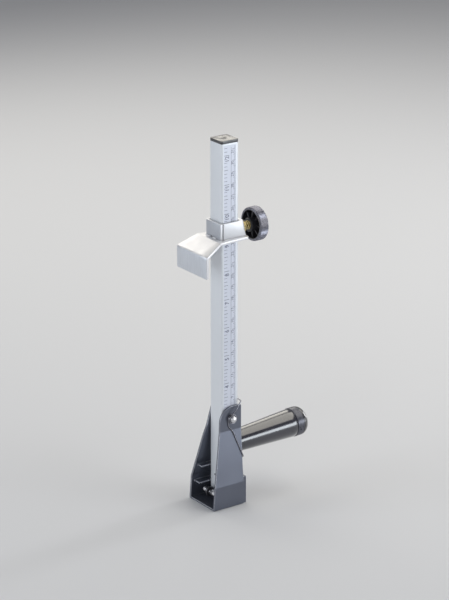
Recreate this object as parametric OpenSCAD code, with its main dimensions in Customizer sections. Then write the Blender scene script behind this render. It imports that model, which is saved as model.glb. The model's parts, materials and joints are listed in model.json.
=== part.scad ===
// Carton scoring gauge: a graduated square column with a sliding edge hook,
// a sprung guard hinged over a scoring wheel, and a round side handle.
// X runs along the hinge pin and the graduated face looks to +X, Y runs from
// the open mouth of the guard (-Y) to the handle (+Y), Z is up.
// The origin is on the underside of the guard, under the middle of the column.

/* [Column] */
// Side of the square column
col_w = 17.5; // [16:0.5:20]
// Wall of the column
col_wall = 1.5; // [1:0.1:2]
// Radius of the column's long outer edges
col_corner = 1.6; // [0.8:0.1:2.4]
// Height of the column's lower end
col_bottom = 7; // [6.5:0.5:9]
// Height of the column's upper end
col_top = 325; // [280:1:360]

/* [Scale] */
// Width of the scale label
label_w = 12.2; // [8:0.2:13]
// Thickness of the scale label
label_t = 0.15; // [0.1:0.05:0.3]
// Height of the label's lower end
label_bottom = 70; // [60:1:90]
// Distance from the label's upper end to the column's upper end
label_margin = 1.5; // [0.5:0.5:6]
// Place of the label's middle line on its face, towards the rear
label_y = -0.35; // [-1:0.05:1]

/* [Top cap] */
// Thickness of the cap's flange
cap_t = 2.6; // [1.5:0.1:4]
// Depth of the cap's plug
cap_plug_h = 9; // [5:0.5:15]
// Wall of the hollow plug
cap_plug_wall = 1.6; // [1:0.1:2.5]

/* [Sliding hook] */
// Height of the hook's flat top
hook_z = 242.5; // [150:0.5:290]
// Thickness of the folded sheet
sheet_t = 2.3; // [1.6:0.1:2.6]
// Outer radius of a fold
fold_r = 2.8; // [2.8:0.1:4]
// Gap between the hook and the column, each side
slide_gap = 0.5; // [0.25:0.05:0.6]
// Half width of the plate at its rear edge
plate_rear_half = 15; // [13:0.2:17]
// Distance from the column's middle to the plate's fold
plate_fold = 15.6; // [13:0.2:20]
// Half width of the plate at the fold
plate_fold_half = 17.4; // [15:0.2:20]
// Distance from the column's middle to the lip's outer face
lip_reach = 33.4; // [26:0.2:42]
// Half width of the lip
lip_half = 22; // [18:0.2:26]
// Drop of the sloping part, in degrees below level
slope = 25; // [15:1:35]
// Height of the hanging lip, from its fold to its edge
lip_h = 19.2; // [12:0.2:26]
// Height of the collar above the plate
collar_h = 14; // [13:0.5:18]
// Distance from the column's middle to the collar's rear foot and the plate's rear edge
collar_foot = 15.5; // [15.2:0.1:16.4]
// Distance from the column's middle to the collar's rear top edge
collar_rear_top = 12.5; // [12.2:0.1:13.4]
// Width of the open seam behind the end of the collar's front face
seam_w = 0.6; // [0.3:0.1:1.2]
// Distance from the end of the collar's front face to its outer corner
seam_set = 0.5; // [0.2:0.1:1]
// Place of the middle of the notch in the collar's front foot
notch_x = -2.1; // [-4:0.1:4]
// Width of the notch
notch_w = 2.6; // [1:0.1:4]
// Height of the notch
notch_h = 1.2; // [0.6:0.1:2]

/* [Clamp] */
// Radius of the clamp screw
screw_r = 2.9; // [2.4:0.1:3.2]
// Height of the screw's axis above the plate
screw_z = 4.5; // [4.4:0.1:6]
// Travel of the screw, locked to free
screw_travel = 1; // [0.5:0.25:1]
// Radius of the pressure pad
shoe_r = 3.7; // [3:0.1:3.8]
// Thickness of the pressure pad
shoe_t = 1.6; // [1.4:0.1:1.8]
// Radius of the nut's neck in the collar
nut_neck_r = 3.8; // [3.8:0.1:4]
// Width of the nut across its flats
nut_flats = 8.4; // [8.2:0.2:9.4]
// Length of the nut's hexagon
nut_h = 5; // [4:0.5:6]
// Radius of the knob
knob_r = 14.8; // [12:0.2:18]
// Width of the knob's rim
knob_rim_w = 8.8; // [5:0.1:10]
// Distance from the column's middle to the knob's outer face
knob_end = 36.3; // [34:0.1:42]
// Thickness of the knob's rim
knob_rim_t = 3; // [2:0.1:4]
// Thickness of the knob's web
knob_web = 2.4; // [1.6:0.1:3]
// Radius of the knob's hub
hub_r = 6; // [5.5:0.1:7]
// Length of the hub that stands out of the rim
hub_out = 3; // [2:0.1:4]
// Number of ribs between the hub and the rim
knob_ribs = 8; // [4:1:12]
// Thickness of a knob rib
knob_rib_t = 1.2; // [0.8:0.1:2]
// Number of grooves in the knob's rim
knob_grooves = 36; // [16:1:48]
// Radius of each groove
groove_r = 0.75; // [0.5:0.05:0.9]
// Radius of the brass insert
insert_r = 3.9; // [3.8:0.1:4.4]

/* [Guard] */
// Wall of the guard
guard_wall = 1.9; // [1.4:0.1:2.2]
// Floor of the guard
guard_floor = 1.5; // [1:0.1:1.6]
// Gap between an ear and the column
ear_gap = 0.5; // [0.4:0.05:0.8]
// Half width of the guard at its foot
guard_half = 18.9; // [17:0.1:23]
// Height of the guard's upright lower band
band_h = 21; // [18:0.5:26]
// Height where the sloping walls meet the ears
ear_z = 68.5; // [62:0.5:70]
// Height of the ears' top edge
ear_top = 90.3; // [88.5:0.2:94]
// Radius of the ears' front curve
ear_r = 13.6; // [11:0.2:14]
// Distance from the column's middle to the guard's front edge at the floor
front_foot = 24; // [23.2:0.2:28]
// The same at the top of the lower band
front_band = 22.5; // [21.8:0.2:26]
// The same at the foot of the ears
front_ear = 12.4; // [12:0.2:15]
// The same at the top of the left ear, which slopes back
front_far = 5.2; // [4:0.2:9]
// Height where the left ear starts to slope back
far_z = 60; // [50:1:66]
// Gap between the guard's back wall and the column at rest
stop_gap = 0.2; // [0.15:0.05:0.4]
// Height of the guard's back wall
back_h = 25; // [20:0.5:27]
// Distance from the column's middle to the rear edge of the guard's side faces
side_rear = 7.6; // [6.4:0.2:8.6]
// Depth of the step from the side faces to the back part
rear_step = 1; // [0.4:0.1:1.2]
// Height of the lower inner rib
rib_low_z = 16.5; // [14:0.1:20]
// Height of the upper inner rib
rib_high_z = 31.4; // [26:0.1:36]
// Thickness of the inner ribs
rib_t = 1.6; // [1:0.1:2.4]
// Distance from the guard's front edge to a rib's front edge
rib_inset = 3; // [1:0.2:6]

/* [Hinge] */
// Height of the hinge pin
pin_z = 79; // [77:0.5:80]
// Radius of the hinge pin
pin_r = 2; // [1.5:0.1:2.2]
// Gap between the pin and the ears' bores
pin_gap = 0.05; // [0.02:0.01:0.1]
// Radius of the pin's domed head
head_r = 2.7; // [2.4:0.1:3]
// Length of the pin's domed head
head_h = 1.5; // [1:0.1:2]
// Thickness of the washer and of the clip
clip_t = 0.8; // [0.5:0.1:1.2]
// Diameter of the spring wire
wire_d = 1; // [0.8:0.05:1.1]
// Radius of the coil, to the middle of the wire
coil_r = 3.8; // [3.6:0.1:4.4]
// Height at which the spring's long leg hooks behind the guard
spring_hook_z = 43; // [40:0.5:48]

/* [Scoring wheel] */
// Height of the wheel's axle
axle_z = 10; // [9.7:0.1:11]
// Distance from the column's front face to the axle
axle_out = 5.55; // [5.35:0.05:5.95]
// Radius of the axle
axle_r = 1.5; // [1.2:0.1:1.8]
// Gap between the wheel's rim and the column
wheel_play = 0.55; // [0.4:0.05:0.6]
// Thickness of the wheel's web
wheel_t = 1.4; // [1:0.1:1.5]
// Radius of the wheel's hub
wheel_hub_r = 2.6; // [2.2:0.1:2.7]
// Length of the wheel's hub
wheel_hub_w = 4; // [3:0.2:4.4]
// Gap between the wheel's bore and the axle
wheel_gap = 0.05; // [0.02:0.01:0.1]
// Inner face of a holder cheek, from the middle
cheek_x = 3; // [2.8:0.1:3.6]
// Thickness of a holder cheek
cheek_t = 1.5; // [1:0.1:2]
// Radius of a cheek's rounded front
cheek_r = 2.8; // [2.6:0.1:3.2]
// Height of the holder's plug in the column
plug_h = 14; // [10:0.5:18]
// Thickness of the holder's flange
flange_t = 2; // [1.5:0.1:2.4]
// Radius of the holder's two grub screws
grub_r = 1.2; // [1:0.1:1.4]

/* [Handle] */
// Height of the handle's axis at the column
handle_z = 51.5; // [48:0.5:54]
// Rise of the handle, in degrees above level
handle_rise = 2.8; // [0:0.2:5]
// Length of the handle, from the column to its tip
handle_len = 77.8; // [70:1:100]
// Radius of the grip beside the column
grip_r0 = 9.9; // [9:0.1:10.4]
// Radius of the grip at its outer end
grip_r1 = 12.7; // [11:0.1:15]
// Radius of the end cap
end_r = 13; // [12.8:0.1:16]
// Length of the end cap's straight band
end_band = 7; // [5:0.5:10]
// Length of the end cap's dome
end_dome = 8; // [6:0.5:11]
// Radius of the hollow core's outside
core_r = 6.4; // [5.5:0.1:7]
// Radius of the stud
stud_r = 3; // [2.5:0.1:3.2]
// Thickness of the ferrule at the column
ferrule_t = 2; // [1.5:0.1:3]

/* [Hidden] */
fn_round = 48;
fn_fine = 96;
// Clearance of pieces that are pushed together and stay together
push_gap = 0.05;
// Overrun of a cutter past the face that it cuts
over = 1;
// Smallest step between two faces of pieces that meet
step = 0.1;

col_half = col_w / 2;
col_in = col_half - col_wall;
axle_half = col_half + step;

label_h = col_top - label_margin - label_bottom;

hook_in = col_half + slide_gap;
collar_out = hook_in + sheet_t;
plate_top = [collar_foot, 0];
fold_point = [-plate_fold, 0];
lip_point = [-lip_reach, -(lip_reach - plate_fold) * tan(slope)];
lip_end = lip_point - [0, lip_h];
fold_steps = 6;

shoe_y = col_half + step;
nut_y = collar_foot + push_gap;
nut_in = shoe_y + shoe_t + screw_travel + 0.4;
hub_y = knob_end - knob_rim_w - hub_out;
tip_r = screw_r * 0.6;
tip_sunk = 0.4;
insert_nose = 1.6;

ear_in = col_half + ear_gap;
ear_out = ear_in + guard_wall;
back_in = col_half + stop_gap;
back_out = back_in + guard_wall;
wall_rear = back_out - 0.6;
// Rear edge of a side wall at height z
function rear_at(z) = z < back_h
    ? back_in + step
    : side_rear + (wall_rear - side_rear) * (z - back_h) / (ear_z - back_h);
ear_mid = [ear_r - front_ear + 0.2, ear_top - ear_r];
// Front edge of the guard at height z
function front_at(z) = z < band_h
    ? -front_foot + (front_foot - front_band) * z / band_h
    : -front_band + (front_band - front_ear) * (z - band_h) / (ear_z - band_h);

// Places along the pin, outwards from the near ear
leg_x = ear_out + 0.1 + wire_d / 2;
wire_pitch = wire_d * 1.05;
coil_x = leg_x + wire_pitch;
bush_end = coil_x + wire_pitch + wire_d / 2 + step;
leg_turn = 270;
coil_turn = 405;
wire_sides = 10;

holder_z = col_bottom - flange_t;
axle_reach = col_half + axle_out;
wheel_r = axle_out - wheel_play;
grub_len = 4;
block_h = 18;
core_wall = 1.5;
cap_len = end_band + end_dome;
grip_len = handle_len - cap_len - ferrule_t;
stud_in = col_in + 1.5;
stud_len = grip_len * 0.7;

// Points of an arc
function arc(c, r, a0, a1, n) =
    [for (i = [0:n]) let (a = a0 + (a1 - a0) * i / n) c + r * [cos(a), sin(a)]];
// Points of a fold at p, between headings h0 and h1, whose outer radius is ro;
// r is the radius of the face that the points lie on
function fold(p, h0, h1, ro, r, n) =
    let (c = p - ro * tan((h1 - h0) / 2) * [cos(h0), sin(h0)] + ro * [cos(h0 + 90), sin(h0 + 90)])
    arc(c, r, h0 - 90, h1 - 90, n);
function flip(v) = [for (i = [len(v) - 1:-1:0]) v[i]];
function unit(v) = v / norm(v);

// Wire path: corners eased by a short curve
function eased(p, r, n) = concat([p[0]],
    [for (i = [1:len(p) - 2]) let (a = p[i] + r * unit(p[i - 1] - p[i]),
        b = p[i] + r * unit(p[i + 1] - p[i])) for (k = [0:n]) let (t = k / n)
        (1 - t) * (1 - t) * a + 2 * t * (1 - t) * p[i] + t * t * b], [p[len(p) - 1]]);
function heading(p, i) =
    unit(p[min(i + 1, len(p) - 1)] - p[max(i - 1, 0)]);
// Sideways directions carried along the path without twist
function carried(p, i, u) = i >= len(p) ? [] :
    let (t = heading(p, i), w = unit(u - t * (u * t))) concat([w], carried(p, i + 1, w));

module wire(p, r, n, u) {
    side = carried(p, 0, u);
    last = len(p) - 1;
    pts = [for (i = [0:last]) let (t = heading(p, i), v = cross(t, side[i]))
        for (k = [0:n - 1]) p[i] + r * (cos(360 * k / n) * side[i] + sin(360 * k / n) * v)];
    sides = [for (i = [0:last - 1]) for (k = [0:n - 1]) let (m = (k + 1) % n)
        [i * n + k, (i + 1) * n + k, (i + 1) * n + m, i * n + m]];
    ends = [[for (k = [0:n - 1]) k], [for (k = [n - 1:-1:0]) last * n + k]];
    polyhedron(points = pts, faces = concat(sides, ends), convexity = 6);
}

// Outline in Y and Z, extruded along X from x0 to x1
module along_x(x0, x1) {
    translate([x0, 0, 0])
        rotate([90, 0, 90])
            linear_extrude(height = x1 - x0)
                children();
}

// Round bar along X
module bar_x(r, x0, x1, fn = fn_round) {
    translate([x0, 0, 0])
        rotate([0, 90, 0])
            cylinder(r = r, h = x1 - x0, $fn = fn);
}

// Round bar along Y
module bar_y(r, y0, y1, fn = fn_round) {
    translate([0, y0, 0])
        rotate([-90, 0, 0])
            cylinder(r = r, h = y1 - y0, $fn = fn);
}

// Square with rounded corners, centred
module rounded_square(w, r) {
    h = w / 2 - r;
    polygon(concat(arc([h, h], r, 0, 90, 6), arc([-h, h], r, 90, 180, 6),
        arc([-h, -h], r, 180, 270, 6), arc([h, -h], r, 270, 360, 6)));
}

// Places children on the handle's axis, Z along the handle
module on_handle() {
    translate([0, col_half, handle_z])
        rotate([handle_rise - 90, 0, 0])
            children();
}

module column_tube() {
    color("gainsboro") difference() {
        translate([0, 0, col_bottom])
            linear_extrude(height = col_top - col_bottom)
                rounded_square(col_w, col_corner);
        translate([-col_in, -col_in, col_bottom - over])
            cube([2 * col_in, 2 * col_in, col_top - col_bottom + 2 * over]);
        translate([0, 0, pin_z])
            bar_x(pin_r, -col_w, col_w);
        on_handle()
            translate([0, 0, -col_wall - over])
                cylinder(r = stud_r + push_gap, h = col_wall + 2 * over, $fn = fn_round);
        for (s = [-1, 1])
            translate([s * col_half, 0, col_bottom + plug_h / 2])
                bar_x(grub_r + step, -col_wall - over, col_wall + over);
    }
}

module scale_label() {
    color("lavender") difference() {
        translate([col_half, label_y - label_w / 2, label_bottom])
            cube([label_t, label_w, label_h]);
        translate([0, 0, pin_z])
            bar_x(pin_r + 0.4, 0, col_w);
    }
}

module top_cap() {
    plug = 2 * (col_in - push_gap);
    color("dimgray") {
        translate([0, 0, col_top])
            linear_extrude(height = cap_t)
                rounded_square(col_w, col_corner);
        difference() {
            translate([-plug / 2, -plug / 2, col_top - cap_plug_h])
                cube([plug, plug, cap_plug_h + step]);
            translate([cap_plug_wall - plug / 2, cap_plug_wall - plug / 2, col_top - cap_plug_h - over])
                cube([plug - 2 * cap_plug_wall, plug - 2 * cap_plug_wall, cap_plug_h + over]);
        }
    }
}

// Side outline of the plate: the outer face, then the inner face back again
module plate_outline() {
    down = 180 + slope;
    inner = fold_r - sheet_t;
    outer_face = concat([plate_top], fold(fold_point, 180, down, fold_r, fold_r, fold_steps),
        fold(lip_point, down, 270, fold_r, fold_r, fold_steps), [lip_end]);
    inner_face = concat([plate_top - [0, sheet_t]],
        fold(fold_point, 180, down, fold_r, inner, fold_steps),
        fold(lip_point, down, 270, fold_r, inner, fold_steps), [lip_end + [sheet_t, 0]]);
    polygon(concat(outer_face, flip(inner_face)));
}

module fence_plate() {
    plan = [[-plate_rear_half, collar_foot], [-plate_fold_half, -plate_fold],
        [-lip_half, -lip_reach + fold_r], [-lip_half, -lip_reach - over],
        [lip_half, -lip_reach - over], [lip_half, -lip_reach + fold_r],
        [plate_fold_half, -plate_fold], [plate_rear_half, collar_foot]];
    drop = -lip_end[1] + over;
    color("whitesmoke")
        translate([0, 0, hook_z])
            difference() {
                intersection() {
                    along_x(-lip_half, lip_half)
                        plate_outline();
                    translate([0, 0, -drop])
                        linear_extrude(height = drop + over)
                            polygon(plan);
                }
                translate([-hook_in, -hook_in, -sheet_t - over])
                    cube([2 * hook_in, 2 * hook_in, sheet_t + 2 * over]);
            }
}

// The collar's side outline, drawn in by d from its rear and front faces
module collar_outline(d, low, high) {
    lean = (collar_foot - collar_rear_top) / collar_h;
    set_in = d * sqrt(1 + lean * lean);
    polygon([[-collar_out + d, low], [collar_foot - set_in - lean * low, low],
        [collar_foot - set_in - lean * high, high], [-collar_out + d, high]]);
}

module fence_collar() {
    color("whitesmoke")
        translate([0, 0, hook_z])
            difference() {
                along_x(-collar_out, collar_out)
                    collar_outline(0, 0, collar_h);
                along_x(-hook_in, hook_in)
                    collar_outline(sheet_t, -over, collar_h + over);
                translate([collar_out - seam_set, -collar_out - over, -over])
                    cube([seam_set + over, over + sheet_t + seam_w, collar_h + 2 * over]);
                translate([hook_in - over, -hook_in, -over])
                    cube([sheet_t + over, seam_w, collar_h + 2 * over]);
                translate([notch_x - notch_w / 2, -collar_out - over, -over])
                    cube([notch_w, sheet_t + 2 * over, over + notch_h]);
                translate([0, 0, screw_z])
                    bar_y(nut_neck_r + push_gap, col_w / 2 + 2, collar_foot + over);
            }
}

module on_screw() {
    translate([0, 0, hook_z + screw_z])
        children();
}

module clamp_nut() {
    color("goldenrod") on_screw()
        difference() {
            union() {
                bar_y(nut_neck_r, nut_in, nut_y + step);
                bar_y(nut_flats / 2 / cos(30), nut_y, nut_y + nut_h, 6);
            }
            bar_y(screw_r + step, nut_in - over, nut_y + nut_h + over);
        }
}

module clamp_screw() {
    color("goldenrod") on_screw() {
        bar_y(tip_r, shoe_y + tip_sunk + step, shoe_y + shoe_t + 2 * step);
        bar_y(screw_r, shoe_y + shoe_t + step, knob_end - knob_web);
    }
}

module clamp_shoe() {
    color("dimgray") on_screw()
        difference() {
            bar_y(shoe_r, shoe_y, shoe_y + shoe_t);
            bar_y(tip_r + step, shoe_y + tip_sunk, shoe_y + shoe_t + over);
        }
}

module knob_insert() {
    color("goldenrod") on_screw()
        difference() {
            union() {
                bar_y(insert_r, hub_y, knob_end - knob_web);
                bar_y(insert_r, hub_y - insert_nose, hub_y, 6);
            }
            bar_y(screw_r + push_gap, hub_y - insert_nose - over, knob_end);
        }
}

module clamp_knob() {
    rim_y = knob_end - knob_rim_w;
    edge = 1;
    crown = 0.6;
    rib_drop = 1.5;
    color("dimgray") on_screw()
        difference() {
            rotate([-90, 0, 0])
                rotate_extrude($fn = fn_fine)
                    polygon(concat([[insert_r + push_gap, knob_end - knob_web],
                        [insert_r + push_gap, hub_y], [hub_r, hub_y],
                        [hub_r, knob_end - knob_web], [knob_r - knob_rim_t, knob_end - knob_web],
                        [knob_r - knob_rim_t, rim_y], [knob_r - edge, rim_y]],
                        arc([knob_r - edge, rim_y + edge], edge, -90, 0, 4),
                        arc([knob_r - edge, knob_end - edge], edge, 0, 90, 4),
                        [[hub_r, knob_end + crown], [0, knob_end + crown], [0, knob_end - knob_web]]));
            for (k = [0:knob_grooves - 1])
                rotate([0, 360 * k / knob_grooves, 0])
                    translate([knob_r + groove_r * 0.3, 0, 0])
                        bar_y(groove_r, rim_y - over, knob_end + over, 16);
        }
    color("dimgray") on_screw()
        for (k = [0:knob_ribs - 1])
            rotate([0, 360 * k / knob_ribs, 0])
                translate([hub_r - step, rim_y + rib_drop, -knob_rib_t / 2])
                    cube([knob_r - knob_rim_t - hub_r + 2 * step,
                        knob_rim_w - knob_web - rib_drop + step, knob_rib_t]);
}

// Side outline of the guard
module guard_side() {
    corner = 1.5;
    polygon(concat([[-front_foot, 0], [back_out, 0], [back_out, back_h], [side_rear, back_h],
        [wall_rear, ear_z]],
        arc([wall_rear - corner, ear_top - corner], corner, 0, 90, 5),
        arc(ear_mid, ear_r, 90, 180, 16),
        [[-front_ear, ear_z], [-front_band, band_h]]));
}

// Front outline of the guard, drawn in by d from its side walls
module guard_front(d, low, high) {
    foot = guard_half - d;
    ear = ear_out - d;
    polygon([[-foot, low], [foot, low], [foot, band_h], [ear, ear_z], [ear, high],
        [-ear, high], [-ear, ear_z], [-foot, band_h]]);
}

// Front outline extruded along Y from y0 to y1
module along_y(y0, y1) {
    translate([0, y1, 0])
        rotate([90, 0, 0])
            linear_extrude(height = y1 - y0)
                children();
}

module guard_housing() {
    rib_x = ear_in + step;
    color("dimgray") difference() {
        union() {
            difference() {
                intersection() {
                    along_x(-guard_half, guard_half)
                        guard_side();
                    along_y(-front_foot, back_out)
                        guard_front(0, 0, ear_top);
                }
                along_y(-front_foot - over, back_in)
                    guard_front(guard_wall, guard_floor, ear_top + over);
                intersection() {
                    along_y(back_in - over, back_out + over)
                        guard_front(guard_wall, guard_floor, ear_top + over);
                    translate([-guard_half, 0, back_h])
                        cube([2 * guard_half, 2 * back_out, ear_top]);
                }
            }
            for (z = [rib_low_z, rib_high_z])
                intersection() {
                    along_y(front_at(z) + rib_inset, rear_at(z - rib_t))
                        guard_front(guard_wall / 2, guard_floor, ear_top);
                    for (s = [-1, 1])
                        translate([s > 0 ? rib_x : -guard_half, -front_foot, z - rib_t])
                            cube([guard_half - rib_x, 2 * front_foot, rib_t]);
                }
        }
        for (s = [-1, 1])
            translate([s > 0 ? guard_half - rear_step : -guard_half - over, side_rear, -over])
                cube([rear_step + over, back_out, back_h + over]);
        translate([0, 0, pin_z])
            bar_x(pin_r + pin_gap, -guard_half, guard_half);
        along_x(-guard_half - over, 0)
            polygon([[front_at(far_z), far_z], [-front_far, ear_top], [-front_far, ear_top + over],
                [-front_foot, ear_top + over], [-front_foot, far_z]]);
    }
}

module on_pin() {
    translate([0, 0, pin_z])
        children();
}

module pivot_pin() {
    brim = 0.3;
    tail = 1.5;
    color("silver") on_pin() {
        bar_x(pin_r, -ear_out - 2 * clip_t - tail, bush_end + step);
        translate([bush_end, 0, 0])
            rotate([0, 90, 0])
                rotate_extrude($fn = fn_round)
                    polygon(concat([[0, 0], [head_r, 0]],
                        [for (a = [0:15:90]) [head_r * cos(a), brim + (head_h - brim) * sin(a)]]));
    }
}

module spring_bush() {
    color("silver") on_pin()
        difference() {
            bar_x(coil_r - wire_d / 2 - 0.35, ear_out + 0.02, bush_end);
            bar_x(pin_r, ear_out - over, bush_end + over);
        }
}

module pivot_washer() {
    color("silver") on_pin()
        difference() {
            bar_x(pin_r * 2, -ear_out - 0.05 - clip_t, -ear_out - 0.05);
            bar_x(pin_r, -ear_out - 2 * over, -ear_out + over);
        }
}

module retaining_clip() {
    x1 = -ear_out - 0.1 - clip_t;
    color("dimgray") on_pin()
        difference() {
            bar_x(pin_r * 1.8, x1 - clip_t, x1);
            bar_x(pin_r, x1 - clip_t - over, x1 + over);
            translate([x1 - clip_t - over, -pin_r * 0.7, 0])
                cube([clip_t + 2 * over, pin_r * 1.4, pin_r * 3]);
        }
}

// A point on a coil about the pin, at angle a from +Y towards +Z
function on_coil(x, a) = [x, coil_r * cos(a), pin_z + coil_r * sin(a)];

module spring_coil() {
    turn_step = 15;
    start = 180;
    rise = wire_pitch / 360;
    turns = [for (a = [0:turn_step:coil_turn]) on_coil(coil_x + rise * a, start - a)];
    tail = turns[len(turns) - 1];
    behind = col_half + wire_d / 2 + step;
    leg = [tail, tail + [0, 6, 6], [ear_out + 1, behind, pin_z + 14.8],
        [col_half - 2.5, behind, pin_z + 15.2]];
    color("silver")
        wire(concat(turns, eased(leg, 1.2, 3)), wire_d / 2, wire_sides, [1, 0, 0]);
}

module spring_guard_leg() {
    turn_step = 15;
    // Outer face of the sloping wall at the height of the hook
    wall_x = ear_out + (ear_z - spring_hook_z) / (ear_z - band_h) * (guard_half - ear_out);
    off = wire_d / 2 + 0.15;
    hook_y = rear_at(spring_hook_z) + off;
    turns = [for (a = [leg_turn:-turn_step:0]) on_coil(leg_x, 180 - a)];
    leg = [turns[len(turns) - 1], [leg_x, -coil_r, pin_z - 6], [leg_x + 0.4, 1, pin_z - 12.5],
        [wall_x + off, hook_y, spring_hook_z], [wall_x - guard_wall, hook_y, spring_hook_z - 0.6]];
    color("silver")
        wire(concat(turns, eased(leg, 1.2, 3)), wire_d / 2, wire_sides, [1, 0, 0]);
}

module wheel_holder() {
    plug = 2 * (col_in - push_gap);
    color("silver") difference() {
        union() {
            translate([-plug / 2, -plug / 2, holder_z])
                cube([plug, plug, flange_t + plug_h]);
            translate([0, 0, holder_z])
                linear_extrude(height = flange_t)
                    rounded_square(col_w, col_corner);
            for (s = [-1, 1])
                along_x(s > 0 ? cheek_x : -cheek_x - cheek_t, s > 0 ? cheek_x + cheek_t : -cheek_x)
                    polygon(concat([[-axle_reach + 2, holder_z], [-col_half + 2, holder_z],
                        [-col_half + 2, col_bottom], [-col_half - 0.2, col_bottom]],
                        arc([-axle_reach, axle_z], cheek_r, 30, 235, 14)));
        }
        translate([0, -axle_reach, axle_z])
            bar_x(axle_r, -axle_half - over, axle_half + over);
        for (s = [-1, 1])
            translate([s * col_half, 0, col_bottom + plug_h / 2])
                bar_x(grub_r, -grub_len, grub_len);
    }
}

module holder_screws() {
    color("silver")
        for (s = [-1, 1])
            translate([0, 0, col_bottom + plug_h / 2])
                mirror([s < 0 ? 1 : 0, 0, 0])
                    bar_x(grub_r, col_half + push_gap - grub_len, col_half - push_gap);
}

module wheel_axle() {
    color("silver")
        translate([0, -axle_reach, axle_z])
            bar_x(axle_r, -axle_half, axle_half);
}

module axle_sleeves() {
    color("silver")
        translate([0, -axle_reach, axle_z])
            for (s = [-1, 1])
                mirror([s < 0 ? 1 : 0, 0, 0])
                    difference() {
                        bar_x(axle_r + 0.9, cheek_x + cheek_t + 0.05, axle_half - 0.6);
                        bar_x(axle_r, cheek_x, axle_half + over);
                    }
}

module score_wheel() {
    bore = axle_r + wheel_gap;
    land = 0.15;
    color("silver")
        translate([0, -axle_reach, axle_z])
            rotate([0, 90, 0])
                rotate_extrude($fn = fn_fine)
                    polygon([[bore, -wheel_hub_w / 2], [wheel_hub_r, -wheel_hub_w / 2],
                        [wheel_hub_r, -wheel_t / 2], [wheel_r - wheel_t, -wheel_t / 2],
                        [wheel_r, -land], [wheel_r, land], [wheel_r - wheel_t, wheel_t / 2],
                        [wheel_hub_r, wheel_t / 2], [wheel_hub_r, wheel_hub_w / 2],
                        [bore, wheel_hub_w / 2]]);
}

module handle_block() {
    side = 2 * (col_in - push_gap);
    color("gray") difference() {
        translate([-side / 2, -side / 2, handle_z - block_h / 2])
            cube([side, side, block_h]);
        on_handle()
            translate([0, 0, -col_half - stud_in])
                cylinder(r = stud_r, h = col_half + stud_in + over, $fn = fn_round);
    }
}

module handle_stud() {
    color("silver") on_handle()
        translate([0, 0, -stud_in])
            cylinder(r = stud_r, h = stud_in + stud_len, $fn = fn_round);
}

module handle_ferrule() {
    color("dimgray") difference() {
        on_handle()
            translate([0, 0, -over])
                cylinder(r = grip_r0 - 1, h = ferrule_t + over, $fn = fn_round);
        on_handle()
            translate([0, 0, -2 * over])
                cylinder(r = stud_r, h = ferrule_t + 3 * over, $fn = fn_round);
        translate([-col_w, -col_half, handle_z - col_w])
            cube([2 * col_w, col_w, 2 * col_w]);
    }
}

module handle_core() {
    color("dimgray") on_handle()
        difference() {
            translate([0, 0, ferrule_t])
                cylinder(r = core_r, h = grip_len + end_band, $fn = fn_round);
            cylinder(r = stud_r, h = stud_len + step, $fn = fn_round);
            translate([0, 0, stud_len])
                cylinder(r = core_r - core_wall, h = handle_len, $fn = fn_round);
        }
}

module handle_grip() {
    lip = 0.8;
    color("black") on_handle()
        translate([0, 0, ferrule_t])
            rotate_extrude($fn = fn_fine)
                polygon(concat([[core_r, 0], [grip_r0 - lip, 0]],
                    arc([grip_r0 - lip, lip], lip, -90, 0, 4),
                    [[grip_r1, grip_len], [core_r, grip_len]]));
}

module handle_end_cap() {
    wall = 2;
    color("dimgray") on_handle()
        translate([0, 0, ferrule_t + grip_len])
            difference() {
                rotate_extrude($fn = fn_fine)
                    polygon(concat([[core_r, 0], [end_r - 0.4, 0], [end_r, 0.4], [end_r, end_band]],
                        [for (a = [10:10:90]) [end_r * cos(a), end_band + end_dome * sin(a)]],
                        [[0, end_band], [core_r, end_band]]));
                translate([0, 0, end_band - over])
                    cylinder(r = core_r - core_wall, h = over + end_dome - wall, $fn = fn_round);
            }
}

column_tube();
scale_label();
top_cap();
fence_plate();
fence_collar();
clamp_nut();
clamp_screw();
clamp_shoe();
knob_insert();
clamp_knob();
guard_housing();
pivot_pin();
spring_bush();
pivot_washer();
retaining_clip();
spring_coil();
spring_guard_leg();
wheel_holder();
holder_screws();
wheel_axle();
axle_sleeves();
score_wheel();
handle_block();
handle_stud();
handle_ferrule();
handle_core();
handle_grip();
handle_end_cap();
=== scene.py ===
# %% [markdown]
# # Dressing a carton scoring gauge
# The imported CAD model gives every working piece at its real size. This notebook builds what the eye
# sees around it: rolled sheet edges, a printed scale, moulded plastic, brass, wire and glossy vinyl.
# It loads the model as a fixed frame first.

import json
import math

import bpy
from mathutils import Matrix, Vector


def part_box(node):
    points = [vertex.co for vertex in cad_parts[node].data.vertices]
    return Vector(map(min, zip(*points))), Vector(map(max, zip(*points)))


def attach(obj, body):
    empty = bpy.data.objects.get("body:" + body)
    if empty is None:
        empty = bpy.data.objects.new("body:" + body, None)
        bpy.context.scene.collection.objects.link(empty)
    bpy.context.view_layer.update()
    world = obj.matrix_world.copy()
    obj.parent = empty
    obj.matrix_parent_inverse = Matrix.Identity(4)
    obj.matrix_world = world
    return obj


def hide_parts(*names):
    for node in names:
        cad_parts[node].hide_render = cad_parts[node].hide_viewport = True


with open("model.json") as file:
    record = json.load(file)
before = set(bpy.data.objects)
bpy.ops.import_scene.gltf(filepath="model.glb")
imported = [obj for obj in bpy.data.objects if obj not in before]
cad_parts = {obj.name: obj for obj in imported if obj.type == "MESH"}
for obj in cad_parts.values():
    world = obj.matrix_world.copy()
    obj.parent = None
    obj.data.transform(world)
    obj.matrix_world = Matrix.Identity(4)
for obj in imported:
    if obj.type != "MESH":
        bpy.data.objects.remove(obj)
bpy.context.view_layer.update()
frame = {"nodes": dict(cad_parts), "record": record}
MM = 0.001

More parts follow.
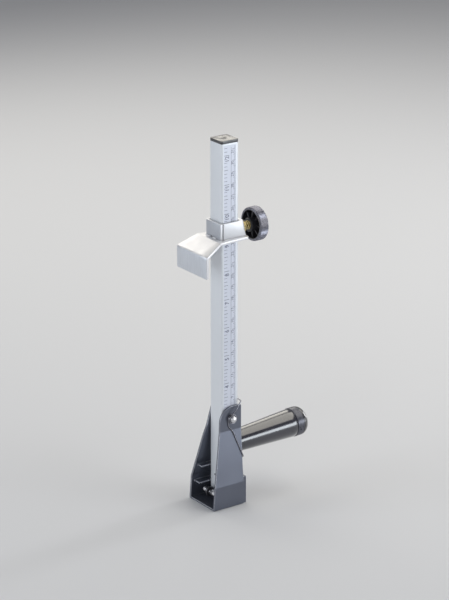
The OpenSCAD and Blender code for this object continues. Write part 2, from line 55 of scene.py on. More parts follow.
# %% [markdown]
# ## The camera
# A long lens on the side of the scale and the lip, a little above the part. It was fitted to the scale
# on the column, whose marks are a known distance apart. Two angles, a distance and the point that it is
# aimed at place it.

# %% Camera
CAMERA_AZIMUTH = 54.8
CAMERA_DROP = 19.5
CAMERA_DISTANCE = 2115.8 * MM
CAMERA_SIDE = 0.3 * MM
CAMERA_AIM_HEIGHT = 184.3 * MM
LENS_MM = 148.94

turn = math.radians(CAMERA_AZIMUTH)
drop = math.radians(CAMERA_DROP)
forward = Vector((-math.sin(turn) * math.cos(drop), math.cos(turn) * math.cos(drop), -math.sin(drop)))
sideways = Vector((math.cos(turn), math.sin(turn), 0))
aim = Vector((0, 0, CAMERA_AIM_HEIGHT)) + sideways * CAMERA_SIDE
bpy.ops.object.camera_add(location=aim - forward * CAMERA_DISTANCE)
camera = bpy.context.object
camera.name = "view_camera"
camera.rotation_euler = forward.to_track_quat("-Z", "Y").to_euler()
camera.data.lens = LENS_MM
camera.data.sensor_width = 36
camera.data.clip_start = 0.05
camera.data.clip_end = 20
bpy.context.scene.camera = camera
bpy.context.scene.view_settings.view_transform = "Standard"
print("camera at mm:", [round(v / MM) for v in camera.location])

# %% [markdown]
# ## Working tools
# Every new piece starts as a primitive and is shaped in edit mode. An operator works on all that is
# selected, so one helper clears the selection first, and another picks points, edges or faces by place.

# %% Helpers for modelling
def only(obj):
    bpy.ops.object.select_all(action="DESELECT")
    obj.select_set(True)
    bpy.context.view_layer.objects.active = obj
    return obj


def named(name):
    obj = bpy.context.object
    obj.name = name
    obj.data.name = name
    return obj


def pick(obj, kind, test):
    """Selects the vertices, edges or faces of obj whose centre passes the test."""
    only(obj)
    bpy.ops.object.mode_set(mode="EDIT")
    bpy.ops.mesh.select_all(action="DESELECT")
    bpy.ops.mesh.select_mode(type=kind)
    bpy.ops.object.mode_set(mode="OBJECT")
    points = [v.co for v in obj.data.vertices]
    parts = {"VERT": obj.data.vertices, "EDGE": obj.data.edges, "FACE": obj.data.polygons}[kind]
    count = 0
    for part in parts:
        if kind == "VERT":
            chosen = test(part.co)
        elif kind == "EDGE":
            chosen = test(*[points[i] for i in part.vertices])
        else:
            chosen = test(part.center, part.normal)
        part.select = bool(chosen)
        count += bool(chosen)
    bpy.ops.object.mode_set(mode="EDIT")
    return count


def done():
    bpy.ops.object.mode_set(mode="OBJECT")


def settle(obj):
    """Applies the object's place, so that it sits at the origin with its place in its mesh."""
    only(obj)
    bpy.ops.object.transform_apply(location=True, rotation=True, scale=True)
    return obj


def recalculated(obj):
    only(obj)
    bpy.ops.object.mode_set(mode="EDIT")
    bpy.ops.mesh.select_all(action="SELECT")
    bpy.ops.mesh.remove_doubles(threshold=0.000005)
    bpy.ops.mesh.normals_make_consistent(inside=False)
    done()
    return obj


def modified(obj, kind, **settings):
    """Adds a modifier with these settings and applies it."""
    only(obj)
    modifier = obj.modifiers.new(kind.lower(), kind)
    for key, value in settings.items():
        setattr(modifier, key, value)
    bpy.ops.object.modifier_apply(modifier=modifier.name)
    return obj


ROLLED_SMOOTH = 35


def rounded(obj, width, segments=3, angle=30):
    """Rolls the sharp edges, and shades the rest smooth."""
    modified(obj, "BEVEL", width=width, segments=segments, limit_method="ANGLE",
             angle_limit=math.radians(angle), harden_normals=False)
    return smoothed(obj, ROLLED_SMOOTH)


def joined(pieces):
    """Joins the pieces into the first of them."""
    bpy.ops.object.select_all(action="DESELECT")
    for piece in pieces:
        piece.select_set(True)
    bpy.context.view_layer.objects.active = pieces[0]
    bpy.ops.object.join()
    return pieces[0]


def smoothed(obj, angle):
    """Shades the faces smooth where they meet at less than this angle."""
    only(obj)
    bpy.ops.object.shade_smooth_by_angle(angle=math.radians(angle))
    return obj


def report(obj):
    low = [min(v.co[i] for v in obj.data.vertices) / MM for i in range(3)]
    high = [max(v.co[i] for v in obj.data.vertices) / MM for i in range(3)]
    print(obj.name, "faces", len(obj.data.polygons),
          "from", [round(v, 1) for v in low], "to", [round(v, 1) for v in high])


def finish_piece(obj, body, slot, material, second=None):
    """Gives the piece its finish and body; a second finish goes on the faces marked 1."""
    marks = [face.material_index for face in obj.data.polygons]
    obj.data.materials.clear()
    obj.data.materials.append(material)
    if second:
        obj.data.materials.append(second)
        obj.data.polygons.foreach_set("material_index", marks)
    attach(obj, body)
    report(obj)
    return obj


print("modelling helpers:", only.__name__, pick.__name__, modified.__name__, finish_piece.__name__)

# %% [markdown]
# ## Finishes
# Each finish is a small tree of shader nodes that reads Object coordinates, so a pattern keeps its
# size in millimetres on every piece. One helper lays the common parts: noise of a given grain that
# moves the roughness a little and raises a fine bump. Each finish then adds what is its own.

# %% Shader helpers
def new_finish(name, colour, metallic=0.0, roughness=0.5):
    material = bpy.data.materials.new(name)
    material.use_nodes = True
    shader = material.node_tree.nodes["Principled BSDF"]
    shader.inputs["Base Color"].default_value = (*colour, 1)
    shader.inputs["Metallic"].default_value = metallic
    shader.inputs["Roughness"].default_value = roughness
    return material, material.node_tree, shader


def node(tree, kind, **inputs):
    made = tree.nodes.new(kind)
    for key, value in inputs.items():
        made.inputs[key.replace("_", " ")].default_value = value
    return made


def grain(tree, stretch, scale, detail=3.0):
    """Noise on Object coordinates, stretched along the axes by the three factors."""
    place = tree.nodes.new("ShaderNodeTexCoord")
    mapping = tree.nodes.new("ShaderNodeMapping")
    mapping.inputs["Scale"].default_value = stretch
    noise = node(tree, "ShaderNodeTexNoise", Scale=scale, Detail=detail)
    tree.links.new(place.outputs["Object"], mapping.inputs["Vector"])
    tree.links.new(mapping.outputs["Vector"], noise.inputs["Vector"])
    return noise.outputs["Fac"]


def spread(tree, value, low, high, to_low, to_high):
    """Maps a value from one range to another."""
    ranged = tree.nodes.new("ShaderNodeMapRange")
    for key, number in (("From Min", low), ("From Max", high), ("To Min", to_low), ("To Max", to_high)):
        ranged.inputs[key].default_value = number
    tree.links.new(value, ranged.inputs["Value"])
    return ranged.outputs["Result"]


def raise_bump(tree, shader, value, height_mm, strength=1.0):
    bump = node(tree, "ShaderNodeBump", Strength=strength, Distance=height_mm * MM)
    tree.links.new(value, bump.inputs["Height"])
    tree.links.new(bump.outputs["Normal"], shader.inputs["Normal"])
    return bump


def blend_colour(tree, shader, value, first, second):
    ramp = tree.nodes.new("ShaderNodeValToRGB")
    ramp.color_ramp.elements[0].color = (*first, 1)
    ramp.color_ramp.elements[1].color = (*second, 1)
    tree.links.new(value, ramp.inputs["Fac"])
    tree.links.new(ramp.outputs["Color"], shader.inputs["Base Color"])
    return ramp

# %% [markdown]
# ### Aluminium
# Extruded aluminium has faint lines along its length under a dull anodised skin. Noise squeezed across
# the column and stretched along it gives the lines. The hook's sheet is brushed, so its lines run down
# the lip, and larger patches move its gloss.

# %% Aluminium finishes
def satin_aluminium():
    material, tree, shader = new_finish("satin_aluminium", (0.70, 0.73, 0.77), 0.45, 0.42)
    lines = grain(tree, (1, 1, 0.012), 1800, 2)
    tree.links.new(spread(tree, lines, 0.3, 0.7, 0.36, 0.48), shader.inputs["Roughness"])
    raise_bump(tree, shader, lines, 0.02, 0.35)
    return material


def bright_sheet(name, dark, light, rough=0.37):
    material, tree, shader = new_finish(name, light, 0.55, rough)
    lines = grain(tree, (1, 0.05, 0.05), 2200, 3)
    patches = grain(tree, (1, 1, 1), 90, 2)
    blend_colour(tree, shader, lines, dark, light)
    uneven = spread(tree, patches, 0.35, 0.65, rough - 0.05, rough + 0.05)
    tree.links.new(uneven, shader.inputs["Roughness"])
    raise_bump(tree, shader, lines, 0.03, 0.5)
    return material

# %% [markdown]
# ### Plastics and print
# The guard's plastic has a fine sheen with slow clouds in it, the knob is speckled by wear, and the cap
# and the grip carry a clear coat over black. The film is pale and smooth, and the ink on it a dark blue.

# %% Plastics and print
def guard_plastic(name, dark, light, rough):
    material, tree, shader = new_finish(name, dark, 0.6, rough)
    shader.inputs["Specular IOR Level"].default_value = 1.0
    pores = grain(tree, (1, 1, 1), 1600, 2)
    clouds = grain(tree, (1, 1, 1), 45, 1)
    blend_colour(tree, shader, clouds, dark, light)
    tree.links.new(spread(tree, clouds, 0.3, 0.7, rough * 0.9, rough * 1.1), shader.inputs["Roughness"])
    raise_bump(tree, shader, pores, 0.02, 0.6)
    return material


def knob_plastic(name, dark, light, metallic, rough):
    material, tree, shader = new_finish(name, dark, metallic, rough)
    clouds = grain(tree, (1, 1, 1), 400, 4)
    blend_colour(tree, shader, clouds, dark, light)
    tree.links.new(spread(tree, clouds, 0.3, 0.7, rough * 0.8, rough * 1.2), shader.inputs["Roughness"])
    raise_bump(tree, shader, clouds, 0.03, 0.5)
    return material


def gloss_black(name, colour, roughness, coat_ior=1.5, shine=0.8):
    material, tree, shader = new_finish(name, colour, 0.0, roughness)
    shader.inputs["Specular IOR Level"].default_value = shine
    shader.inputs["Coat Weight"].default_value = 1.0
    shader.inputs["Coat Roughness"].default_value = 0.16
    shader.inputs["Coat IOR"].default_value = coat_ior
    waves = grain(tree, (1, 1, 1), 160, 2)
    uneven = spread(tree, waves, 0.3, 0.7, roughness * 0.8, roughness * 1.25)
    tree.links.new(uneven, shader.inputs["Roughness"])
    raise_bump(tree, shader, waves, 0.06, 0.25)
    return material


def film():
    material, tree, shader = new_finish("scale_film", (0.63, 0.66, 0.75), 0.15, 0.30)
    clouds = grain(tree, (1, 1, 0.1), 220, 3)
    blend_colour(tree, shader, clouds, (0.60, 0.635, 0.72), (0.66, 0.69, 0.78))
    raise_bump(tree, shader, clouds, 0.01, 0.2)
    return material


def print_ink():
    material, tree, shader = new_finish("print_ink", (0.06, 0.07, 0.11), 0.0, 0.5)
    clouds = grain(tree, (1, 1, 1), 900, 2)
    blend_colour(tree, shader, clouds, (0.07, 0.085, 0.15), (0.14, 0.155, 0.24))
    return material

# %% [markdown]
# ### Small metals
# Brass and plated steel are plain metals. Handling leaves their gloss uneven, so noise moves it. The
# last lines give each of the record's finishes its material, and name the extra ones: a lighter edge finish
# that is a painted highlight, darker lip and collar fronts that are painted shade, the wheel, the cap's
# band and the knob's rim.

# %% Small metals and the list of finishes
def brass():
    material, tree, shader = new_finish("brass", (0.66, 0.55, 0.28), 1.0, 0.26)
    clouds = grain(tree, (1, 1, 1), 500, 3)
    blend_colour(tree, shader, clouds, (0.50, 0.41, 0.19), (0.76, 0.63, 0.33))
    tree.links.new(spread(tree, clouds, 0.3, 0.7, 0.14, 0.28), shader.inputs["Roughness"])
    return material


def plated_steel(name, colour, roughness):
    material, tree, shader = new_finish(name, colour, 1.0, roughness)
    clouds = grain(tree, (1, 1, 1), 700, 3)
    uneven = spread(tree, clouds, 0.3, 0.7, roughness * 0.75, roughness * 1.3)
    tree.links.new(uneven, shader.inputs["Roughness"])
    raise_bump(tree, shader, clouds, 0.01, 0.3)
    return material


FINISHES = {
    "satin_column": satin_aluminium(),
    "hook_sheet": bright_sheet("bright_sheet", (0.64, 0.645, 0.67), (0.80, 0.80, 0.82)),
    "scale_film": film(),
    "black_cap": gloss_black("cap_plastic", (0.016, 0.016, 0.02), 0.40, 1.20),
    "guard_plastic": guard_plastic("guard_plastic", (0.106, 0.117, 0.153), (0.128, 0.141, 0.180), 0.31),
    "knob_plastic": knob_plastic("knob_plastic", (0.018, 0.018, 0.022), (0.030, 0.030, 0.036), 0.0, 0.35),
    "pad": knob_plastic("pad_plastic", (0.03, 0.03, 0.03), (0.05, 0.05, 0.05), 0.0, 0.5),
    "core_plastic": knob_plastic("core_plastic", (0.02, 0.02, 0.02), (0.03, 0.03, 0.03), 0.0, 0.5),
    "grip_vinyl": gloss_black("grip_vinyl", (0.004, 0.005, 0.016), 0.20, 1.65, 0.62),
    "end_plastic": gloss_black("end_plastic", (0.035, 0.035, 0.040), 0.22),
    "brass": brass(),
    "bright_steel": plated_steel("bright_steel", (0.70, 0.70, 0.72), 0.32),
    "dark_steel": plated_steel("dark_steel", (0.20, 0.20, 0.215), 0.38),
    "spring_steel": plated_steel("spring_steel", (0.26, 0.26, 0.29), 0.25),
}
INK = print_ink()
# A lighter copy of the guard's plastic for its rolled edges: a painted highlight.
EDGE_HIGHLIGHT_PAINT = guard_plastic("guard_edge_painted_highlight", (0.30, 0.315, 0.36), (0.40, 0.415, 0.46), 0.26)
# A darker copy of the sheet for the lip's front face: painted shade.
LIP_FRONT_PAINTED_SHADE = bright_sheet("lip_sheet_painted_shade", (0.50, 0.53, 0.58), (0.70, 0.73, 0.78))
COLLAR_FINISH = bright_sheet("welded_sheet", (0.60, 0.61, 0.64), (0.72, 0.73, 0.75), 0.45)
# A darker copy of the sheet for the collar's front face: painted shade.
COLLAR_FRONT_PAINTED_SHADE = bright_sheet("collar_front_painted_shade", (0.38, 0.40, 0.44), (0.50, 0.52, 0.56))
WHEEL_FINISH = plated_steel("wheel_steel", (0.20, 0.20, 0.215), 0.36)
BAND_FINISH = knob_plastic("cap_band", (0.04, 0.042, 0.055), (0.14, 0.143, 0.17), 0.4, 0.3)
RIM_FINISH = knob_plastic("knob_rim", (0.15, 0.152, 0.187), (0.235, 0.238, 0.283), 0.6, 0.27)
print("finishes:", len(FINISHES))

# %% [markdown]
# ## Dressing the CAD pieces
# The record says which finish each node takes. The assignment is one loop; the nodes that are
# modelled again below are hidden where they are made again.

# %% Finishes on the CAD nodes
SLOTS = {part["node"]: part["material_slot"] for part in frame["record"]["subparts"]}
for name, obj in frame["nodes"].items():
    obj.data.materials.clear()
    obj.data.materials.append(FINISHES[SLOTS[name]])
print("dressed:", len(SLOTS))

# %% [markdown]
# ## Folding sheet metal
# The hook is cut from flat sheet and folded. The same steps work here: one edge is extruded along the
# side view of the sheet, with short steps round each fold, and the surface then gets its thickness.
# Knob, handle and brass pieces are turned, so a helper spins an outline round an axis.

# %% Helpers for sheet and turned work
def arc(centre, radius, start, end, steps):
    """Points of an arc in a plane, angles in degrees."""
    angles = [math.radians(start + (end - start) * i / steps) for i in range(steps + 1)]
    return [(centre[0] + radius * math.cos(a), centre[1] + radius * math.sin(a)) for a in angles]


def fold(corner, heading, turn_by, radius, steps=8):
    """Arc that rounds a corner of a path which turns left by turn_by degrees."""
    a = math.radians(heading)
    back = radius * math.tan(math.radians(turn_by) / 2)
    centre = (corner[0] - back * math.cos(a) - radius * math.sin(a),
              corner[1] - back * math.sin(a) + radius * math.cos(a))
    return arc(centre, radius, heading - 90, heading - 90 + turn_by, steps)


def loose_edge(name, along, centre, length):
    """One edge along X or Z, left over from a plane, ready to be extruded."""
    bpy.ops.object.select_all(action="DESELECT")
    tip = (0, math.pi / 2, 0) if along == "Z" else (0, 0, 0)
    place = Vector(centre) + Vector((0, length / 2, 0))
    bpy.ops.mesh.primitive_plane_add(size=length, location=place, rotation=tip)
    strip = settle(named(name))
    pick(strip, "VERT", lambda p: p.y > centre[1] + length / 2)
    bpy.ops.mesh.delete(type="VERT")
    done()
    return strip


def extrude_path(strip, places, widths=None):
    """Extrudes the strip's last edge from place to place, with its half width in X at each."""
    only(strip)
    bpy.ops.object.mode_set(mode="EDIT")
    bpy.ops.mesh.select_mode(type="EDGE")
    bpy.ops.mesh.select_all(action="SELECT")
    for i in range(1, len(places)):
        bpy.ops.mesh.extrude_region_move(
            TRANSFORM_OT_translate={"value": Vector(places[i]) - Vector(places[i - 1])})
        if widths:
            bpy.ops.transform.resize(value=(widths[i] / widths[i - 1], 1, 1), center_override=places[i])
    done()
    return strip


def face_outwards(obj, point, outward):
    """Turns an open sheet's faces so that the one nearest to point looks along outward."""
    nearest = min(obj.data.polygons, key=lambda f: (f.center - Vector(point)).length)
    if nearest.normal.dot(Vector(outward)) < 0:
        only(obj)
        bpy.ops.object.mode_set(mode="EDIT")
        bpy.ops.mesh.select_all(action="SELECT")
        bpy.ops.mesh.flip_normals()
        done()


def turned(name, base, direction, outline, steps=96):
    """A lathe piece: outline is (radius, distance along the axis) in metres, spun round the axis."""
    base, direction = Vector(base), Vector(direction).normalized()
    outward = direction.orthogonal().normalized()
    points = [base + outward * r + direction * along for r, along in outline]
    bpy.ops.object.select_all(action="DESELECT")
    bpy.ops.mesh.primitive_plane_add(size=MM, location=points[0])
    piece = settle(named(name))
    bpy.ops.object.mode_set(mode="EDIT")
    bpy.ops.mesh.select_mode(type="VERT")
    bpy.ops.mesh.select_all(action="SELECT")
    bpy.ops.mesh.merge(type="CENTER")
    for here, there in zip(points, points[1:]):
        bpy.ops.mesh.extrude_region_move(TRANSFORM_OT_translate={"value": there - here})
    bpy.ops.mesh.select_all(action="SELECT")
    bpy.ops.mesh.spin(steps=steps, angle=math.tau, center=base, axis=direction)
    done()
    return recalculated(piece)


def cut_away(obj, cutter):
    """Cuts one solid out of another and removes the cutter."""
    modified(obj, "BOOLEAN", operation="DIFFERENCE", object=cutter)
    bpy.data.objects.remove(cutter)
    return obj


print("forming helpers:", extrude_path.__name__, turned.__name__, cut_away.__name__)

# %% [markdown]
# ### The hook
# Its outer size comes from the CAD node. The fold is 15.6 mm in front of the column's middle, the
# sheet is 2.3 mm thick, and the plate widens towards the lip. Four bisecting cuts part the square hole
# for the column from the rest. The lip's front takes a darker finish of its own: painted shade.

# %% Hook plate
SHEET = 2.3 * MM
FOLD_RADIUS = 2.8 * MM
FOLD_Y = -15.6 * MM
SLOPE = 25
REAR_HALF, FOLD_HALF = 15.0 * MM, 17.4 * MM
EDGE_ROLL = 0.35 * MM
REAR_CORNER, LIP_CORNER = 2.2 * MM, 1.2 * MM
NEAR = 0.1 * MM

plate_low, plate_high = (Vector(v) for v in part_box("fence_plate"))
collar_low, collar_high = (Vector(v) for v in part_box("fence_collar"))
lip_fall = (FOLD_Y - plate_low.y) * math.tan(math.radians(SLOPE))


def plate_half_width(y):
    if y > FOLD_Y:
        return REAR_HALF + (plate_high.y - y) / (plate_high.y - FOLD_Y) * (FOLD_HALF - REAR_HALF)
    share = (FOLD_Y - y) / (FOLD_Y - plate_low.y - FOLD_RADIUS)
    return FOLD_HALF + min(share, 1) * (plate_high.x - FOLD_HALF)


side_view = [(plate_high.y, plate_high.z)]
side_view += fold((FOLD_Y, plate_high.z), 180, SLOPE, FOLD_RADIUS)
side_view += fold((plate_low.y, plate_high.z - lip_fall), 180 + SLOPE, 90 - SLOPE, FOLD_RADIUS)
side_view += [(plate_low.y, plate_low.z)]
hook = loose_edge("hook_plate", "X", (0, plate_high.y, plate_high.z), 2 * REAR_HALF)
extrude_path(hook, [(0, y, z) for y, z in side_view], [plate_half_width(y) for y, z in side_view])
face_outwards(hook, (0, 0, plate_high.z), (0, 0, 1))

hole = collar_high.x - SHEET
for axis in range(2):
    for side in (-1, 1):
        only(hook)
        bpy.ops.object.mode_set(mode="EDIT")
        bpy.ops.mesh.select_all(action="SELECT")
        direction = Vector((axis == 0, axis == 1, 0))
        bpy.ops.mesh.bisect(plane_co=direction * hole * side, plane_no=direction)
        done()
pick(hook, "FACE", lambda c, n: abs(c.x) < hole and abs(c.y) < hole)
bpy.ops.mesh.delete(type="FACE")
done()
pick(hook, "VERT", lambda p: p.y > plate_high.y - NEAR and abs(p.x) > REAR_HALF - NEAR)
bpy.ops.mesh.bevel(offset=REAR_CORNER, segments=6, affect="VERTICES")
done()
pick(hook, "VERT", lambda p: p.z < plate_low.z + NEAR and abs(p.x) > plate_high.x - NEAR)
bpy.ops.mesh.bevel(offset=LIP_CORNER, segments=4, affect="VERTICES")
done()
modified(hook, "SOLIDIFY", thickness=SHEET, offset=-1, use_even_offset=True)
rounded(hook, EDGE_ROLL)
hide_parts("fence_plate")
# Faces that look to the front take the darker finish: painted shade.
for face in hook.data.polygons:
    face.material_index = int(face.normal.y < -0.9)
finish_piece(hook, "hook", "hook_sheet", FINISHES["hook_sheet"], LIP_FRONT_PAINTED_SHADE)

# %% [markdown]
# ### The collar
# A second strip is bent round the column and welded on. It starts and ends at the front corner with
# an open seam, and its back leans forward. The start lies in front of the end, so its cut edge shows.
# A notch clears the weld at the foot, and a round hole takes the neck of the clamp nut. The front face
# is darker: painted shade.

# %% Hook collar
COLLAR_BEND = 2.6 * MM
SEAM = 0.6 * MM
SEAM_SET = 0.5 * MM
COLLAR_LEAN = 3.0 * MM
NOTCH_X, NOTCH_WIDTH, NOTCH_DEPTH = -2.1 * MM, 2.6 * MM, 2.4 * MM
NECK_R = 3.85 * MM
NECK_START = 10.75 * MM

out = collar_high.x
rear = collar_high.y
inner = out - SHEET
middle_z = (collar_low.z + collar_high.z) / 2
walk = [(out - SEAM_SET, -out)]
walk += [(x, y) for x, y in reversed(fold((-out, -out), 270, 90, COLLAR_BEND))]
walk += [(x, y) for x, y in reversed(fold((-out, rear), 180, 90, COLLAR_BEND))]
walk += [(x, y) for x, y in reversed(fold((out, rear), 90, 90, COLLAR_BEND))]
walk += [(out, -inner + SEAM)]
collar = loose_edge("hook_collar", "Z", (walk[0][0], walk[0][1], middle_z), collar_high.z - collar_low.z)
extrude_path(collar, [(x, y, middle_z) for x, y in walk])
face_outwards(collar, (out, 0, middle_z), (1, 0, 0))
pick(collar, "VERT", lambda p: p.y > rear - COLLAR_BEND - NEAR and p.z > middle_z)
bpy.ops.transform.translate(value=(0, -COLLAR_LEAN, 0))
done()
modified(collar, "SOLIDIFY", thickness=SHEET, offset=-1, use_even_offset=True)
bpy.ops.object.select_all(action="DESELECT")
bpy.ops.mesh.primitive_cube_add(size=1, location=(NOTCH_X, -out, collar_low.z))
notch = named("notch_cutter")
notch.scale = (NOTCH_WIDTH, 3 * SHEET, NOTCH_DEPTH)
settle(notch)
cut_away(collar, notch)
nut_low, nut_high = (Vector(v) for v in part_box("clamp_nut"))
bpy.ops.mesh.primitive_cylinder_add(
    radius=NECK_R, depth=2 * (rear - NECK_START), vertices=64,
    location=(0, rear, (nut_low.z + nut_high.z) / 2), rotation=(math.pi / 2, 0, 0))
cut_away(collar, settle(named("neck_cutter")))
rounded(collar, EDGE_ROLL)
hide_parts("fence_collar")
# The collar's front faces take the darker finish: painted shade.
for face in collar.data.polygons:
    face.material_index = int(face.normal.y < -0.9 and face.center.y < -inner)
finish_piece(collar, "hook", "hook_sheet", COLLAR_FINISH, COLLAR_FRONT_PAINTED_SHADE)

# %% [markdown]
# ### The weld
# Two short beads hold the collar on the plate. A weld bead is a row of small pools, so each bead is a
# row of overlapping balls in the corner between the two sheets, a little sunk in both.

# %% Weld beads
BEAD_R = 0.75 * MM
BEAD_STEP = 0.8 * MM
BEAD_OUT = 0.1 * MM
beads = []
for start, count in ((-9.5 * MM, 7), (0.4 * MM, 6)):
    for i in range(count):
        bpy.ops.object.select_all(action="DESELECT")
        bpy.ops.mesh.primitive_uv_sphere_add(
            segments=16, ring_count=8, radius=BEAD_R,
            location=(start + i * BEAD_STEP, -out - BEAD_OUT, plate_high.z + BEAD_OUT))
        beads.append(named(f"bead_{i}"))
joined(beads)
weld = settle(named("weld_beads"))
bpy.ops.object.shade_smooth()
finish_piece(weld, "hook", "hook_sheet", COLLAR_FINISH)

# %% [markdown]
# ## The column
# A square tube with rounded corners. A cube loses its ends, its long edges are bevelled, and the wall
# is grown inwards. The hinge pin passes through it, so the cutter's place is read from the frame.

# %% Column tube
COLUMN_CORNER = 1.6 * MM
COLUMN_WALL = 1.5 * MM

column_low, column_high = (Vector(v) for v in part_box("column_tube"))
pin_low, pin_high = (Vector(v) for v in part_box("pivot_pin"))
PIN_Z = (pin_low.z + pin_high.z) / 2
PIN_RADIUS = 2.0 * MM

bpy.ops.object.select_all(action="DESELECT")
bpy.ops.mesh.primitive_cube_add(size=1, location=(column_low + column_high) / 2)
column = named("column_body")
column.scale = column_high - column_low
settle(column)
pick(column, "FACE", lambda c, n: abs(n.z) > 0.9)
bpy.ops.mesh.delete(type="ONLY_FACE")
done()
pick(column, "EDGE", lambda a, b: abs(a.z - b.z) > MM)
bpy.ops.mesh.bevel(offset=COLUMN_CORNER, segments=8)
done()
recalculated(column)
face_outwards(column, (column_high.x, 0, 0.1), (1, 0, 0))
modified(column, "SOLIDIFY", thickness=COLUMN_WALL, offset=-1, use_even_offset=True)
bpy.ops.mesh.primitive_cylinder_add(radius=PIN_RADIUS, depth=4 * column_high.x, vertices=48,
                                    location=(0, 0, PIN_Z), rotation=(0, math.pi / 2, 0))
cut_away(column, settle(named("pin_cutter")))
smoothed(column, 30)
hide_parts("column_tube")
finish_piece(column, "column", "satin_column", FINISHES["satin_column"])

# %% [markdown]
# ### The top cap
# A moulded plug with a rounded rim and the small round mark of its gate in the middle.

# %% Top cap
cap_low, cap_high = (Vector(v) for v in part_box("top_cap"))
cap_under = column_high.z
PLUG_PLAY = 0.05 * MM
GATE_R, GATE_DEPTH = 1.5 * MM, 0.5 * MM
GATE_X, GATE_Y = 0.4 * MM, 0.3 * MM
bpy.ops.object.select_all(action="DESELECT")
bpy.ops.mesh.primitive_cube_add(size=1, location=(0, 0, (cap_under + cap_high.z) / 2))
cap = named("top_cap_moulding")
cap.scale = (cap_high.x * 2, cap_high.y * 2, cap_high.z - cap_under)
settle(cap)
pick(cap, "EDGE", lambda a, b: abs(a.z - b.z) > MM)
bpy.ops.mesh.bevel(offset=COLUMN_CORNER, segments=6)
done()
pick(cap, "FACE", lambda c, n: n.z < -0.9)
plug_half = cap_high.x - COLUMN_WALL - PLUG_PLAY
bpy.ops.mesh.extrude_region_move(TRANSFORM_OT_translate={"value": (0, 0, 0)})
bpy.ops.transform.resize(value=(plug_half / cap_high.x, plug_half / cap_high.x, 1),
                         center_override=(0, 0, cap_under))
bpy.ops.mesh.extrude_region_move(TRANSFORM_OT_translate={"value": (0, 0, cap_low.z - cap_under)})
done()
bpy.ops.object.select_all(action="DESELECT")
bpy.ops.mesh.primitive_cylinder_add(radius=GATE_R, depth=GATE_DEPTH, vertices=40,
                                    location=(GATE_X, GATE_Y, cap_high.z))
cut_away(cap, settle(named("gate_cutter")))
rounded(cap, 0.35 * MM, angle=40)
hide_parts("top_cap")
finish_piece(cap, "column", "black_cap", FINISHES["black_cap"])

# %% [markdown]
# ## The printed scale
# Inches stand on the front side of the label and centimetres on the rear side, with plain numbers that
# read with the column laid down. One mark of each length is modelled and an Array repeats it, and a
# thin line parts the two scales.

# %% Scale marks
INCH = 25.4 * MM
PRINT_T = 0.02 * MM
label_low, label_high = (Vector(v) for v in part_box("scale_label"))
axle_low, axle_high = (Vector(v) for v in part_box("wheel_axle"))
SCALE_ZERO = (axle_low.z + axle_high.z) / 2
MARK_MARGIN = 0.35 * MM


def mark_row(name, pitch, length, width, side):
    """Marks at every pitch from the zero line, on the front (-1) or rear (1) side of the label."""
    first = math.ceil((label_low.z + 2 * MM - SCALE_ZERO) / pitch)
    last = math.floor((label_high.z - 1 * MM - SCALE_ZERO) / pitch)
    edge = label_low.y + MARK_MARGIN if side < 0 else label_high.y - MARK_MARGIN
    bpy.ops.object.select_all(action="DESELECT")
    bpy.ops.mesh.primitive_cube_add(size=1, location=(
        label_high.x + PRINT_T / 2, edge - side * length / 2, SCALE_ZERO + first * pitch))
    row = named(name)
    row.scale = (PRINT_T, length, width)
    settle(row)
    modified(row, "ARRAY", count=last - first + 1, use_relative_offset=False,
             use_constant_offset=True, constant_offset_displace=(0, 0, pitch))
    print(name, "marks:", last - first + 1)
    return row


rows = [
    mark_row("eighths", INCH / 8, 3.0 * MM, 0.30 * MM, -1),
    mark_row("halves", INCH / 2, 3.8 * MM, 0.34 * MM, -1),
    mark_row("inches", INCH, 5.0 * MM, 0.36 * MM, -1),
    mark_row("millimetres", MM, 1.5 * MM, 0.22 * MM, 1),
    mark_row("half_centimetres", 5 * MM, 2.2 * MM, 0.28 * MM, 1),
    mark_row("centimetres", 10 * MM, 3.2 * MM, 0.32 * MM, 1),
]

DIVIDER_Y = 0.9 * MM
DIVIDER_WIDTH = 0.24 * MM
bpy.ops.object.select_all(action="DESELECT")
bpy.ops.mesh.primitive_cube_add(size=1, location=(
    label_high.x + PRINT_T / 2, DIVIDER_Y, (label_low.z + label_high.z) / 2))
divider = named("divider")
divider.scale = (PRINT_T, DIVIDER_WIDTH, label_high.z - label_low.z - 4 * MM)
rows.append(settle(divider))
print("divider mm from the middle:", DIVIDER_Y / MM)

# %% [markdown]
# ### The numbers
# Each number is a text made into a mesh and turned in code to lie on the label, just below its mark.
# Each row of the table gives the step, the place across the column, the height and the drop.

# %% Scale numbers
NUMBER_TURN = ((0, 0, 1), (0, -1, 0), (1, 0, 0))


def number(value, y, z, height):
    bpy.ops.object.select_all(action="DESELECT")
    bpy.ops.object.text_add(location=(label_high.x, y, z))
    text = bpy.context.object
    text.data.body = str(value)
    text.data.size = height
    text.data.align_x = "CENTER"
    text.data.align_y = "CENTER"
    text.data.resolution_u = 3
    text.data.extrude = PRINT_T
    bpy.ops.object.convert(target="MESH")
    text = bpy.context.object
    right, up, face = (Vector(v) for v in NUMBER_TURN)
    for vertex in text.data.vertices:
        p = vertex.co.copy()
        vertex.co = right * p.x + up * p.y + face * p.z
    return settle(text)


NUMBER_ROWS = ((INCH, -3.0 * MM, 5.6 * MM, 3.2 * MM), (10 * MM, 2.3 * MM, 3.7 * MM, 2.3 * MM))
for pitch, row_y, height, below in NUMBER_ROWS:
    first = math.ceil((label_low.z + 6 * MM - SCALE_ZERO) / pitch)
    last = math.floor((label_high.z - SCALE_ZERO) / pitch)
    for value in range(first, last + 1):
        rows.append(number(value, row_y, SCALE_ZERO + value * pitch - below, height))
joined(rows)
scale_print = named("scale_print")
finish_piece(scale_print, "column", "scale_film", INK)

